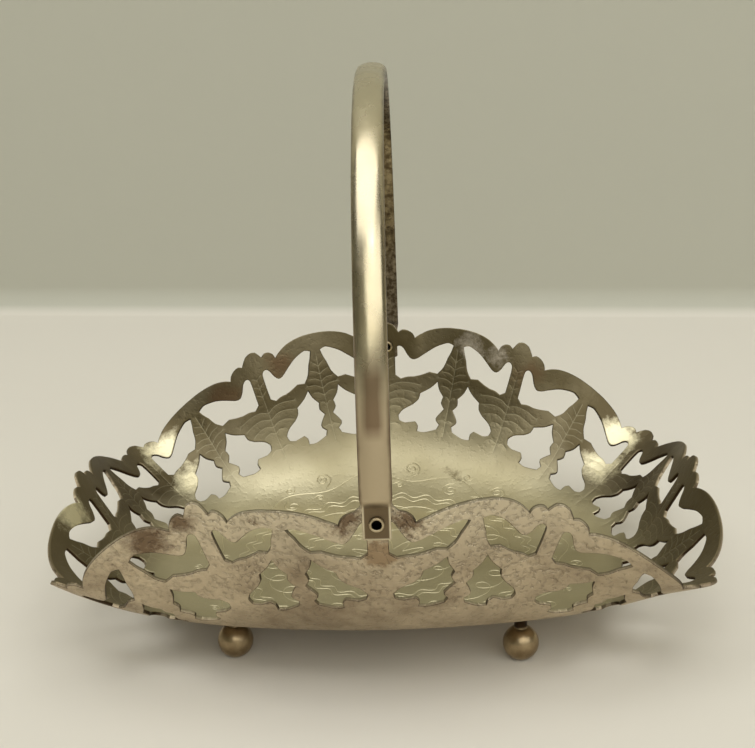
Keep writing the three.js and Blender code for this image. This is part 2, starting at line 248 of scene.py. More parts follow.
RIM = [(0.1, 0), (0.55, 1.2), (2.6, 2.4, 1), (1.95, 3.2), (2.2, 4.3), (3.1, 5.2), (4.3, 5.6, 1),
       (3.4, 6.5), (2.2, 8.3), (1.45, 10.4), (1.05, 12.7), (0.95, 15)]
WING = [(5.5, 13.9, 1), (5.0, 12.7), (5.6, 11.2), (6.6, 9.6), (8.3, 7.7), (9.6, 6.2), (9.8, 5.1),
        (8.7, 4.2), (6.9, 3.4), (6.2, 2.6), (6.7, 1.8), (8.3, 1.6), (13.9, 1.7, 1), (14.9, 2.9, 1),
        (14.4, 4.3), (14.3, 5.8, 1), (13.8, 7.4), (12.9, 9.2, 1), (13.2, 11.0, 1), (11.4, 12.2),
        (8.9, 12.9, 1), (7.2, 13.5)]
STAR = [(15.2, 11.3, 1), (17.0, 9.8), (18.6, 7.5, 1), (20.2, 7.2), (21.6, 5.9, 1), (23.0, 3.6),
        (24.4, 2.5, 1), (25.8, 2.8), (26.4, 4.3, 1), (26.0, 6.9, 1), (27.0, 7.7), (28.5, 7.6, 1),
        (28.7, 9.6), (27.6, 12.8, 1), (26.3, 13.3, 1), (24.8, 12.2), (22.1, 13.9, 1), (20.6, 12.9),
        (19.0, 13.2, 1), (17.2, 11.9)]


def on_drawing(depth, degrees):
    turn = math.radians(degrees)
    return np.array(((BLANK - depth) * math.cos(turn), (BLANK - depth) * math.sin(turn)))


def curve(p0, p1, p2, p3, u):
    """From p1 to p2, as u goes from 0 to 1, on a smooth curve that also heeds the points before and after."""
    return 0.5 * (2 * p1 + (p2 - p0) * u + (2 * p0 - 5 * p1 + 4 * p2 - p3) * u * u
                  + (3 * p1 - p0 - 3 * p2 + p3) * u ** 3)


def flowing(outline, closed, spacing):
    """Points along a curve through the outline. At a corner the curve has no tangent of its own."""
    knots = [on_drawing(*p[:2]) for p in outline]
    sharp = [len(p) > 2 for p in outline]
    count = len(knots)
    line = []
    for i in range(count if closed else count - 1):
        j = (i + 1) % count
        before = knots[i] if sharp[i] or (i == 0 and not closed) else knots[i - 1]
        after = knots[j] if sharp[j] or (j == count - 1 and not closed) else knots[(j + 1) % count]
        steps = max(1, round(float(np.linalg.norm(knots[j] - knots[i])) / spacing))
        line += [curve(before, knots[i], knots[j], after, u) for u in np.arange(steps) / steps]
    if not closed:
        line.append(knots[-1])
    return np.array(line)


rim_line = flowing(RIM, False, 0.8)
openings = []
for outline in (WING, STAR):
    line = flowing(outline, True, 0.7)
    x, y = line.T
    clockwise = (x * np.roll(y, -1) - y * np.roll(x, -1)).sum() < 0
    openings.append(line if clockwise else line[::-1])  # so that the sheet lies on its left
print("points on the outlines:", len(rim_line), [len(line) for line in openings])

# %% [markdown]
# ## The engraving
#
# Inside, the leaves have engraved veins, and the floor a wreath of scrolls, waves and loops round a
# rosette. A graver ploughs a groove shaped like a V. Such a line could be a bump in the material, but
# then it has no edges of its own, so here each stroke is cut into the mesh: a line for the bottom of
# the groove and one for each lip. The real lines are about 0.2 mm wide. These are 0.34 mm, as narrow
# as still shows in the picture.

# %% Engraved strokes of a half lobe and of a twelfth of the floor
LOBES = 12

VEINS = [[(6.4, 15), (12, 15), (18, 15), (24, 15), (29, 15)],
         [(9.7, 15), (9.0, 14.4), (8.4, 13.7)], [(11.7, 15), (10.9, 14.0), (10.5, 13.0)],
         [(13.6, 15), (12.7, 13.7), (12.6, 12.3)], [(15.4, 15), (14.4, 13.4), (14.2, 11.6)],
         [(17.3, 15), (16.4, 13.8), (16.2, 12.7)], [(19.8, 15), (19.0, 14.4), (18.9, 13.9)],
         [(25.4, 15), (24.9, 14.2), (25.2, 13.3)],
         [(9, 0), (15, 0), (21, 0), (29, 0)],
         [(17.0, 0), (16.0, 2.0), (15.9, 4.6), (16.4, 7.2)],
         [(18.9, 0), (17.9, 2.2), (18.0, 4.6), (18.5, 6.2)],
         [(20.8, 0), (20.0, 1.8), (20.1, 3.6), (20.6, 5.0)], [(22.6, 0), (21.9, 1.3), (22.2, 2.8)],
         [(7.9, 0), (7.2, 0.7), (7.0, 1.1)], [(10.2, 0), (9.5, 0.7), (9.3, 1.1)],
         [(12.5, 0), (11.8, 0.7), (11.6, 1.1)], [(27.0, 0), (26.4, 1.6), (27.0, 2.9)]]

strokes = [flowing(vein, False, 0.8) for vein in VEINS]


def ring_wave(radius, height, waves, phase=0.0, sideways=0.0, points=10):
    """A wave round the floor, drawn for a twelfth of it. With a sideways swing it makes loops."""
    turn = 2 * math.pi / LOBES
    count = waves * points
    t = np.arange(-2, count + 3) / count  # two points past each end, to meet its neighbours
    phi = 2 * math.pi * waves * t + phase
    r = radius + height * np.cos(phi)
    angle = turn * (t - 0.5) + sideways / radius * np.sin(phi)
    return np.stack([r * np.cos(angle), r * np.sin(angle)], 1)


def curl(radius, degrees, size, turns, start, hand):
    """A spiral scroll, from its outer end to its eye."""
    t = np.linspace(0, 1, int(turns * 14))
    arm = size * (1 - 0.8 * t ** 0.8)
    angle = math.radians(start) + hand * 2 * math.pi * turns * t
    middle = radius * np.array((math.cos(math.radians(degrees)), math.sin(math.radians(degrees))))
    return middle + np.stack([arm * np.cos(angle), arm * np.sin(angle)], 1)


floor_strokes = [
    ring_wave(43.2, 1.7, 1, phase=math.pi / 2, points=26),
    curl(40.6, 7.5, 2.4, 1.6, 10, 1), curl(45.6, -7.5, 2.4, 1.6, 185, 1),
    curl(46.4, 4.0, 1.3, 1.2, 240, -1), curl(40.0, -3.5, 1.3, 1.2, 60, -1),
    ring_wave(36.0, 0.9, 3), ring_wave(34.2, 0.9, 3),
    ring_wave(28.4, 2.4, 2, sideways=3.2, points=18),
    ring_wave(22.0, 0.8, 2), ring_wave(20.4, 0.8, 2),
    ring_wave(14.6, 1.8, 1, sideways=2.6, points=18),
    ring_wave(7.4, 2.6, 1, phase=math.pi, points=12),
]
print("engraved lines:", len(strokes), "on a half lobe,", len(floor_strokes), "on a twelfth of the floor")

# %% [markdown]
# ## How the sheet is pressed
#
# A die bent the pierced disc up all round, steeply at the two handle sides and gently at the low ends,
# and two lugs were set upright for the rivets. Use has bent the corners unevenly since. The walls could
# be shaped by hand, but here a rule says where any point of the flat sheet goes, so that openings and
# engraving follow by themselves. It adds up the slope along a line from the centre outward.

# %% The lean of the walls
WALL_LEAN = [60, 28, 68, 71]  # degrees, at 0, 30, 60 and 90 from the low ends


def wall_lean(angle):
    """The lean of the walls at an angle, in radians, between the leans that are set."""
    place = np.abs((np.degrees(angle) + 90) % 180 - 90) / 30
    k = np.minimum(place.astype(int), 2)
    lean = np.array([WALL_LEAN[1]] + WALL_LEAN + [WALL_LEAN[2]], float)
    return np.radians(curve(*(lean[k + i] for i in range(4)), place - k))


leans = np.degrees(wall_lean(np.radians(np.arange(0, 91, 15))))
print("lean of the walls, every 15 degrees from a low end:", leans.round(1).tolist())

# %% [markdown]
# Use has lifted one corner by 5 mm and bent two down by 2 mm, and it has pressed down the rim to both
# sides of the front lug. Both are added to the height, and both fade out toward the floor.

# %% What use has bent
CORNER_LIFT, LIFT_START, LIFT_RUN, LIFT_REACH = [0, -1.7, 5.2, -2], 64, 20, 30  # mm, but the reach in degrees
FRONT_SAG, SAG_START, SAG_RUN = 2.6, 66, 14  # how far, from which radius, and over how much of it
SAG_REACH = (56, 24)  # degrees, to the left and to the right of the front lug
SAG_CLEAR, SAG_CLEAR_RUN = 2.6, 2.4  # the lug itself stays up


def smooth(t):
    t = np.clip(t, 0, 1)
    return t * t * (3 - 2 * t)


def corner_lift(radius, angle):
    """How far a place near the rim has been bent up or down with its corner."""
    lift = 0
    for i, height in enumerate(CORNER_LIFT):
        aside = (np.degrees(angle) - 45 - 90 * i + 180) % 360 - 180
        lift = lift + height * np.cos(np.clip(np.abs(aside) / LIFT_REACH, 0, 1) * np.pi / 2) ** 2
    return lift * np.clip((radius - LIFT_START) / LIFT_RUN, 0, 1) ** 2


def front_sag(radius, angle):
    """The rim to both sides of the front lug has been pressed down a little by use."""
    aside = np.degrees(angle) + 90
    reach = np.where(aside < 0, *SAG_REACH)
    fade = np.cos(np.clip(np.abs(aside) / reach, 0, 1) * np.pi / 2) ** 2
    clear_of_lug = smooth((np.abs(radius * np.cos(angle)) - SAG_CLEAR) / SAG_CLEAR_RUN)
    return -FRONT_SAG * fade * clear_of_lug * np.clip((radius - SAG_START) / SAG_RUN, 0, 1) ** 2


lifts = corner_lift(BLANK, np.radians([45, 135, 225, 315]))
print("lift of the four corners:", lifts.round(1).tolist(), "mm")

# %% [markdown]
# The place of the sheet's middle follows from the slopes, and its two faces lie half a thickness to
# either side, square to the bent sheet. The feet's height says how high the floor of the dish is.

# %% The pressed sheet
SHEET = 0.9  # thickness; all lengths here are in mm
BLANK_SIDE = 85  # radius of the real blank at the handle sides
BEND_START, BEND_RUN = (46, 23), (20, 45)  # at the low ends and at the handle sides
CORNER_PULL, PULL_START, PULL_RUN = 3.3, 45, 38  # degrees that the corners are drawn aside
LUG_LEAN, LUG_HEIGHT, LUG_BEND, LUG_HALF_WIDTH, LUG_FADE = 88, 10.5, 2.5, 4.6, 6
SUM_STEPS = 48
FOOT_RADIUS, UNDERSIDE_AT_FEET = 43.0, 8.75


def pressed_middle(radius, angle):
    """Where the middle of the sheet's thickness comes to lie: the slope is summed from the centre out."""
    share = np.sin(angle) ** 2
    start = BEND_START[0] + (BEND_START[1] - BEND_START[0]) * share
    run = BEND_RUN[0] + (BEND_RUN[1] - BEND_RUN[0]) * share
    lean = wall_lean(angle)
    out, up = 0, 0
    for i in range(SUM_STEPS):
        r = (i + 0.5) / SUM_STEPS * radius
        lug = smooth((r - (BLANK_SIDE - LUG_HEIGHT)) / LUG_BEND)
        lug = lug * (1 - smooth((np.abs(r * np.cos(angle)) - LUG_HALF_WIDTH) / LUG_FADE))
        slope = lean * smooth((r - start) / run) * (1 - lug) + math.radians(LUG_LEAN) * lug
        out = out + np.cos(slope) * radius / SUM_STEPS
        up = up + np.sin(slope) * radius / SUM_STEPS
    pull = math.radians(CORNER_PULL) * smooth((radius - PULL_START) / PULL_RUN)
    turn = angle + pull * np.sin(4 * angle) / math.sin(math.radians(120))  # full at 30 and 60 degrees
    return np.stack([out * np.cos(turn), out * np.sin(turn),
                     up + corner_lift(radius, angle) + front_sag(radius, angle)], -1)


def pressed(radius, angle, height):
    """The same for points at a height above the middle, square to the bent sheet."""
    near = np.maximum(radius, 1)
    middle = pressed_middle(near, angle)
    normal = np.cross(pressed_middle(near + 0.01, angle) - middle,
                      pressed_middle(near, angle + 0.01 / near) - middle)
    normal /= np.linalg.norm(normal, axis=-1, keepdims=True)
    return pressed_middle(radius, angle) + normal * height[:, None]


foot_place = np.array([FOOT_RADIUS]), np.array([math.radians(45)]), np.array([-SHEET / 2])
FLOOR_Z = UNDERSIDE_AT_FEET - float(pressed(*foot_place)[0, 2])
print("floor of the dish at z =", round(FLOOR_Z, 2), "mm")

# %% [markdown]
# ## From a drawing to a mesh
#
# A constrained triangulation turns the drawing into triangles: every outline and groove becomes edges
# of the mesh, and points spread evenly between them keep the sheet fine enough to bend. For that the
# script has to know how far a point is from the lines, and whether it lies within an outline. It also
# moves lines aside, for the lips of the grooves and for the inner side of the worn edges.

# %% Distances, insides and lines moved aside
def near_lines(points, lines):
    """Each point's distance to the nearest of the lines."""
    start = np.concatenate([line[:-1] for line in lines])
    along = np.concatenate([line[1:] - line[:-1] for line in lines])
    length = np.maximum((along ** 2).sum(1), 1e-12)
    best = np.full(len(points), 1e9)
    for i in range(0, len(points), 2000):
        gap = points[i:i + 2000, None] - start
        t = np.clip((gap * along).sum(2) / length, 0, 1)
        best[i:i + 2000] = np.sqrt(((gap - t[..., None] * along) ** 2).sum(2)).min(1)
    return best


def inside_of(points, polygon):
    """Which points lie in a closed polygon."""
    x, y = points[:, :1], points[:, 1:]
    ax, ay = polygon.T
    bx, by = np.roll(polygon, -1, 0).T
    spans = (ay > y) != (by > y)
    cross = ax + (y - ay) / np.where(by == ay, 1e-9, by - ay) * (bx - ax)
    return (spans & (x < cross)).sum(1) % 2 == 1


def looped(line):
    return np.vstack([line, line[:1]])


def beside(line, distance):
    """The line moved to its left by a distance."""
    ahead = np.vstack([line[1:] - line[:-1], line[1:2] - line[:1]])
    behind = np.vstack([line[-1:] - line[-2:-1], line[1:] - line[:-1]])
    if np.linalg.norm(line[0] - line[-1]) > 1e-6:
        ahead[-1], behind[0] = behind[-1], ahead[0]
    unit = [v / np.maximum(np.linalg.norm(v, axis=1, keepdims=True), 1e-9) for v in (ahead, behind)]
    normal = np.stack([-(unit[0] + unit[1])[:, 1], (unit[0] + unit[1])[:, 0]], 1)
    normal /= np.maximum(np.linalg.norm(normal, axis=1, keepdims=True), 0.9)
    return line + normal * distance


bridge = near_lines(openings[0], [looped(openings[1])]).min()
print("least metal between the two openings:", round(float(bridge), 2), "mm")

# %% [markdown]
# The floor is the simpler of the two drawings: a wedge of a twelfth, with strokes but no openings. It
# meets the border in points that both share, so that the seam can be welded.

# %% The floor piece's outline
FLOOR_RING = 50.0  # where the border's drawing meets the floor's, in mm
RING_STEP = 1.25  # degrees


def on_ring(from_degrees, to_degrees):
    """Points along the ring where the border's drawing meets the floor's, the same ones for both."""
    count = round(abs(to_degrees - from_degrees) / RING_STEP) + 1
    turns = np.radians(np.linspace(from_degrees, to_degrees, count))
    return np.stack([FLOOR_RING * np.cos(turns), FLOOR_RING * np.sin(turns)], 1)


def straight(a, b, spacing):
    """Evenly spaced points from a to b."""
    t = np.linspace(0, 1, round(float(np.linalg.norm(b - a)) / spacing) + 1)[:, None]
    return a + (b - a) * t


ring = on_ring(-15, 15)
side = straight(np.zeros(2), ring[0], 1.4)
wedge = np.vstack([side, ring[1:], (side[::-1] * (1, -1))[1:-1]])
print("outline of the floor piece:", len(wedge), "points")

# %% [markdown]
# The triangulation drops what lies outside the outline or in an opening, and turns every triangle the
# same way up. Each point keeps how deep in a groove it lies and how near to a worn edge, because the
# pressing and the finish need both.

# %% The floor piece
BEVEL, GROOVE_HALF = 0.2, 0.17  # width of the worn edge round every outline, and half a groove's
ROW, CLEAR = 0.87, 0.45  # parts of the spacing: between rows of points, and from them to the lines


def keep_on(mesh, **values):
    """Keeps a number or a vector for each point of a mesh, under a name."""
    for label, numbers in values.items():
        numbers = np.asarray(numbers, np.float32)
        kind, field = ("FLOAT", "value") if numbers.ndim == 1 else ("FLOAT_VECTOR", "vector")
        mesh.attributes.new(label, kind, "POINT").data.foreach_set(field, numbers.ravel())


def new_mesh(name, points, faces, scale=MM, **values):
    """A mesh in metres from points in mm, with values kept on its points."""
    mesh = bpy.data.meshes.new(name)
    mesh.from_pydata((np.asarray(points) * scale).tolist(), [], faces)
    keep_on(mesh, **values)
    return mesh


def flat_sheet(name, border, holes, worn, engraved, depth, spacing):
    """A flat mesh, still in mm. Worn lines get the inner line of a bevel and engraved ones the lips of a
    groove, and each point keeps its groove depth and its nearness to a worn line.
    """
    lines = [looped(border)] + [looped(h) for h in holes] + engraved
    for line in engraved:
        lines += [beside(line, GROOVE_HALF), beside(line, -GROOVE_HALF)]
    lines += [beside(line, BEVEL) for line in worn]
    low, high = border.min(0), border.max(0)
    rows = np.arange(low[1], high[1], spacing * ROW)
    grid = np.array([(x + (j % 2) * spacing / 2, y) for j, y in enumerate(rows)
                     for x in np.arange(low[0], high[0], spacing)])
    grid = grid[inside_of(grid, border)]
    grid = grid[near_lines(grid, lines) > CLEAR * spacing]
    points = np.vstack(lines + [grid])
    edges, first = [], 0
    for line in lines:
        edges += [(first + i, first + i + 1) for i in range(len(line) - 1)]
        first += len(line)
    made = delaunay_2d_cdt([Vector(p) for p in points.tolist()], edges, [], 0, 1e-4)
    flat = np.array([tuple(v) for v in made[0]])
    faces = np.array(made[2])
    middle = flat[faces].mean(1)
    keep = inside_of(middle, border)
    for hole in holes:
        keep &= ~inside_of(middle, hole)
    faces = faces[keep]
    a, b, c = (flat[faces[:, i]] for i in range(3))
    area = (b - a)[:, 0] * (c - a)[:, 1] - (b - a)[:, 1] * (c - a)[:, 0]
    faces = np.where(area[:, None] > 0, faces, faces[:, ::-1])[np.abs(area) > 1e-6]
    used, faces = np.unique(faces, return_inverse=True)
    flat = flat[used]
    groove = depth * np.clip(1 - near_lines(flat, engraved) / GROOVE_HALF, 0, 1)
    edge = np.clip(1 - near_lines(flat, worn) / BEVEL, 0, 1) if worn else np.zeros(len(flat))
    mesh = new_mesh(name, np.column_stack([flat, np.zeros(len(flat))]), faces.reshape(-1, 3).tolist(),
                    scale=1.0, groove=groove, worn_edge=edge)
    print(name, "has", len(flat), "points and", len(faces) // 3, "triangles")
    return bpy.data.objects.new(name, mesh)


floor_part = flat_sheet("floor_piece", wedge, [], [], floor_strokes, depth=1, spacing=1.5)

# %% [markdown]
# The half lobe comes in two kinds, because the lobe in the middle of each handle side carries a rivet.
# Its hole is drawn where the pressing brings it to the hinge.

# %% The half lobes
RIVET_BELOW_TIP = 6.2
RIVET_HOLE = 1.2
SIDE_SPACING, STROKE_CLEAR = 1.2, 1.0  # along straight borders, and from strokes to the hole
VEIN_DEPTH = 0.35  # of a whole groove, because the veins are cut lightly


def half_lobe(name, with_hole):
    """From the middle of the stem to that of the leaf. The rivet's hole takes a bite out of the stem."""
    middle = np.array((FLOOR_RING, 0.0))
    leaf = straight(rim_line[-1], on_drawing(BLANK - FLOOR_RING, 15), SIDE_SPACING)
    stem = [straight(middle, rim_line[0], SIDE_SPACING)]
    worn = [rim_line] + [looped(o) for o in openings]
    engraved = strokes
    if with_hole:
        at = BLANK - RIVET_BELOW_TIP
        ring = np.array([(at - RIVET_HOLE * math.cos(t), RIVET_HOLE * math.sin(t))
                         for t in np.linspace(0, math.pi, 13)])
        stem = [straight(middle, ring[0], SIDE_SPACING), ring[1:-1],
                straight(ring[-1], rim_line[0], SIDE_SPACING)]
        worn = worn + [ring]
        engraved = [s for s in strokes if near_lines(s, [ring]).min() > STROKE_CLEAR]
    border = np.vstack([rim_line, leaf[1:], on_ring(15, 0)[1:], np.vstack(stem)[1:-1]])
    return flat_sheet(name, border, openings, worn, engraved, depth=VEIN_DEPTH, spacing=1.35)


plain_half = half_lobe("half_lobe", False)
rivet_half = half_lobe("half_lobe_with_rivet_hole", True)

# %% [markdown]
# ## Worn silver plate
#
# The dish is silver plate on brass, unpolished for years. Outside, handling has left it matt and warm
# grey, with fine pits, rubbed patches and brown stains. Inside it is still smoother, and yellower from
# tarnish. Metal has no colour of its own but tints what it reflects, so wear is drawn with roughness
# and bump as much as with colour. Three values kept on the dish say where each look belongs: one fades
# from the inside to the underside through the sheet's edge, one marks the engraved lines, and one the
# worn edges. The sizes are read off the real dish, such as 14 mm for a rubbed patch.

# %% Mottling that the metals share
def mottling(tree, place, **patches):
    """Blotches by name: size in mm, detail, harshness, a shift, and the noise that becomes 0 and 1."""
    made = {}
    for name, (size_mm, detail, harsh, shift, low, high) in patches.items():
        moved = add(tree, "VectorMath", (place, (shift, shift * 0.7, -shift)), operation="ADD")[0]
        noise = add(tree, "TexNoise", {"Vector": moved, "Scale": 0.5 / (size_mm * MM), "Detail": detail,
                                       "Roughness": harsh})["Fac"]
        made[name] = add(tree, "MapRange", (noise, low, high))[0]
    return made


silver, tree, shader, place = new_finish("worn_silver_plate")
inside, engraved, worn_edge = (add(tree, "Attribute", attribute_name=name)["Fac"]
                               for name in ("inside", "engraved", "worn_edge"))
marks = mottling(tree, place, rubbed=(14, 3, 0.55, 0.0, 0.35, 0.65), mottle=(3, 6, 0.7, 0.3, 0.3, 0.7),
                 speck=(2.2, 6, 0.75, 0.8, 0, 1), gold=(18, 3, 0.55, 0.5, 0.38, 0.62),
                 clouds=(10, 4, 0.55, 0.9, 0.42, 0.6), sheen=(9, 3, 0.55, 0.2, 0.3, 0.7),
                 pits=(0.55, 3, 0.55, 0.6, 0.3, 0.5), dents=(11, 1.5, 0.55, 0.0, 0, 1))
print("patterns on the dish:", ", ".join(marks))

# %% [markdown]
# The outside comes first. Rubbed patches about 14 mm across lie over mottling of 3 mm, and toward the
# upper rim the outside is painted paler, as painted light. Where the plate has worn through, brown stains
# follow the real ones: on the front left arc and its knobs, beside the front lug and on the stem below it.

# %% The dish's finish: outside
RAGGED = 0.012  # metres; noise moves a stain's edge by half of it


def stains_and_painted_highlights(tree, tone, place, ragged, spots_by_colour):
    """Lays stains and painted highlights over a tone. Each is a spot in mm, how far it is full, and how far
    it reaches at all.
    """
    for colour, spots in spots_by_colour.items():
        for x, y, z, full, gone in spots:
            away = add(tree, "VectorMath", (place, Vector((x, y, z)) * MM), operation="DISTANCE")["Value"]
            away = add(tree, "Math", (away, ragged), operation="ADD")[0]
            full_to_gone = full * MM + RAGGED / 2, gone * MM + RAGGED / 2
            spot_share = add(tree, "MapRange", (away, *full_to_gone, 0.85, 0.0))[0]
            tone = add(tree, "Mix", {0: spot_share, 6: tone, 7: linear(colour)}, data_type="RGBA")[2]
    return tone


across, along, height = add(tree, "SeparateXYZ", {0: place})
# Painted light: the outside is painted paler toward the upper rim
paler_top_painted_light = add(tree, "MapRange", (height, 0.030, 0.043, 0, 0.6))[0]
worn = add(tree, "Mix", {0: 0.5, 2: marks["rubbed"], 3: marks["mottle"]})[0]
pitted = add(tree, "MapRange", (marks["pits"], 0, 1, 0.24, 0))[0]
outside = linear("93826b")
for share, colour in ((worn, "dccdb2"), (paler_top_painted_light, "eadfc6"), (pitted, "75644e")):
    outside = add(tree, "Mix", {0: share, 6: outside, 7: linear(colour)}, data_type="RGBA")[2]

STAINS = {"6b523a": [(-45, -51.5, 37, 2, 6), (-38, -53, 41, 0.5, 4.5), (-50, -48, 33, 0, 4),
                     (-24, -55.5, 42.5, 0, 2), (-52, -40, 22, 0, 5), (47, -50, 35, 0, 3),
                     (-6.2, -59, 43.5, 2, 4.5), (6.2, -59, 43.5, 2, 4.5)],
          "a0886a": [(0, -57.6, 35.5, 2.5, 5)]}
ragged = add(tree, "Math", (marks["speck"], RAGGED), operation="MULTIPLY")[0]
outside = stains_and_painted_highlights(tree, outside, place, ragged, STAINS)
print("stains on the outside:", sum(len(spots) for spots in STAINS.values()))

# %% [markdown]
# Inside, the floor is pale gold where it is rubbed. Toward the border the tarnish goes brown, olive and
# grey in patches, with brown marks at the back. The low ends are darker, the near half of the floor and
# the far side are painted darker as painted shade, and the engraved lines are painted lighter as painted
# highlights. Bright spots where the border is bent at the corners are painted highlights.

# %% The dish's finish: inside
floor_tone, brown, grey = (
    add(tree, "Mix", {0: marks["gold"], 6: linear(dull), 7: linear(bright)}, data_type="RGBA")[2]
    for dull, bright in (("d6cca8", "f6edcb"), ("3f342a", "534835"), ("7c7260", "8c826d")))
border_tone = add(tree, "Mix", {0: marks["clouds"], 6: brown, 7: grey}, data_type="RGBA")[2]
aside = add(tree, "Math", {0: across}, operation="ABSOLUTE")[0]
radius_m = add(tree, "VectorMath", {0: place}, operation="LENGTH")["Value"]
# Painted light over the tarnish: the far side and the near half are painted darker as shade, the low ends
# darker, the engraved lines painted lighter as highlights
tarnish_and_painted_light = [((radius_m, 0.050, 0.066, 0, 1), border_tone),  # places in metres, and the share that each gives
          ((along, 0.020, 0.046, 0, 0.6), linear("70664a")),
          ((along, 0.000, 0.026, 0.6, 0), linear("857b5c")),
          ((aside, 0.052, 0.064, 0, 0.5), linear("64573f")), ((engraved, 0, 1, 0, 0.5), linear("ece4c2"))]
upper_face = floor_tone
for fade, colour in tarnish_and_painted_light:
    share = add(tree, "MapRange", fade)[0]
    upper_face = add(tree, "Mix", {0: share, 6: upper_face, 7: colour}, data_type="RGBA")[2]

# Brown and grey marks are tarnish; the pale f4ebc8 spots at the ends of the border are painted highlights
MARKS_AND_PAINTED_HIGHLIGHTS = {"66523c": [(-27.6, 53.1, 39.7, 1, 5), (-42, 50.5, 33.3, 2, 6), (36, 52, 36, 0, 5)],
         "c9bfb0": [(21.5, 55.7, 43.4, 0, 4), (29, 54.5, 40.5, 0, 3.5)], "6d6246": [(16.7, 41.2, 13.2, 0, 2)],
         "f4ebc8": [(-57.9, 43.7, 21.1, 2.5, 6.5), (-49.2, 36.9, 15.3, 2, 6), (-68.6, -13.3, 27.7, 2.5, 6.5),
                    (58.4, 44.2, 21.8, 2.5, 6.5), (53.1, 37.7, 16.3, 2, 6)]}
upper_face = stains_and_painted_highlights(tree, upper_face, place, ragged, MARKS_AND_PAINTED_HIGHLIGHTS)
print("marks on the inside:", sum(len(spots) for spots in MARKS_AND_PAINTED_HIGHLIGHTS.values()))

# %% [markdown]
# The cut edges and the outlines round the openings underneath are painted dark, partly as tarnish and
# partly as painted shade, and edges that face up are left light. An edge is where the value that fades
# from the inside to the underside is near one half, so that value times what is left of it finds the edge.

# %% The dish's finish: edges, gloss and pits
less = add(tree, "Math", (1.0, inside), operation="SUBTRACT")[0]
halfway = add(tree, "Math", (inside, less), operation="MULTIPLY")[0]
up = add(tree, "SeparateXYZ", {0: add(tree, "NewGeometry")["Normal"]})[2]
thickness, outline, shade_unless_facing_up = (add(tree, "MapRange", fade)[0] for fade in (
    (halfway, 0.0125, 0.125), (worn_edge, 0.1, 0.9, 0, 0.85), (up, 0.1, 0.6, 1, 0)))
# Painted shade and tarnish: edges and outlines that do not face up are painted dark
edge = add(tree, "Math", (thickness, outline), operation="MAXIMUM")[0]
edge = add(tree, "Math", (edge, shade_unless_facing_up), operation="MULTIPLY")[0]
tone = add(tree, "Mix", {0: inside, 6: outside, 7: upper_face}, data_type="RGBA")[2]
tone = add(tree, "Mix", {0: edge, 6: tone, 7: linear("3f3021")}, data_type="RGBA")[2]

gloss = add(tree, "Mix", {0: inside, 2: 0.50, 3: 0.43})[0]
gloss = add(tree, "Math", (marks["sheen"], 0.12, gloss), operation="MULTIPLY_ADD")[0]

# Pits of about 0.3 mm outside, drawn twice as wide as they are so that they show, and soft dents
deep = add(tree, "Mix", {0: inside, 2: 1.0, 3: 0.12})[0]
pits = add(tree, "Math", (marks["pits"], deep), operation="MULTIPLY")[0]
bumps = add(tree, "Bump", {"Height": pits, "Distance": 0.35 * MM, "Strength": 1.0})[0]
dents = add(tree, "Bump", {"Height": marks["dents"], "Distance": 1.2 * MM, "Strength": 0.5,
                           "Normal": bumps})[0]
feed(tree, shader, {"Base Color": tone, "Metallic": 1.0, "Roughness": gloss, "Normal": dents})
print(silver.name, "has", len(tree.nodes), "nodes")

# %% [markdown]
# ## Twelve lobes from one half
#
# Geometry Nodes do the repeating. The tree mirrors the half lobe, turns copies of it round the centre,
# puts the two rivet lobes at the sides, lays the floor pieces between, and welds the seams. What
# comes out is still the flat blank, as it left the piercing press.

# %% Repeating the half lobe and the floor piece
def plain_mesh(holder):
    """What an object's modifiers make, as a mesh of its own."""
    graph = bpy.context.evaluated_depsgraph_get()
    mesh = bpy.data.meshes.new_from_object(holder.evaluated_get(graph), depsgraph=graph)
    bpy.data.objects.remove(holder)
    return mesh


def run_tree(tree, **values):
    """The mesh that a tree of Geometry Nodes makes from the given inputs."""
    holder = placed(tree.name, bpy.data.meshes.new(tree.name))
    nodes = holder.modifiers.new(tree.name, "NODES")
    nodes.node_group = tree
    for item in tree.interface.items_tree:
        if item.in_out == "INPUT":
            nodes[item.identifier] = values[item.name.lower().replace(" ", "_")]
    return plain_mesh(holder)


def new_tree(name, **inputs):
    """A new tree of Geometry Nodes with named inputs, and the sockets that give them."""
    tree = bpy.data.node_groups.new(name, "GeometryNodeTree")
    for label, kind in inputs.items():
        tree.interface.new_socket(label.replace("_", " "), in_out="INPUT", socket_type="NodeSocket" + kind)
    tree.interface.new_socket("Geometry", in_out="OUTPUT", socket_type="NodeSocketGeometry")
    return tree, add(tree, "NodeGroupInput")


tree, given = new_tree("pierced_blank", Half_lobe="Object", Rivet_lobe="Object", Floor_piece="Object",
                       Lobes="Int", Weld="Float", Finish="Material")
number = add(tree, "GeometryNodeInputIndex")[0]
step = add(tree, "Math", (2 * math.pi, given["Lobes"]), operation="DIVIDE")[0]
angle = add(tree, "Math", (number, step), operation="MULTIPLY")[0]
turned = add(tree, "CombineXYZ", {"Z": angle})[0]
spots = add(tree, "GeometryNodePoints", {"Count": given["Lobes"]})[0]
aside = add(tree, "Math", {0: angle}, operation="COSINE")[0]
aside = add(tree, "Math", {0: aside}, operation="ABSOLUTE")[0]
at_side = add(tree, "Math", (aside, 0.01), operation="LESS_THAN")[0]  # a quarter turn from the low ends
elsewhere = add(tree, "Math", (1.0, at_side), operation="SUBTRACT")[0]

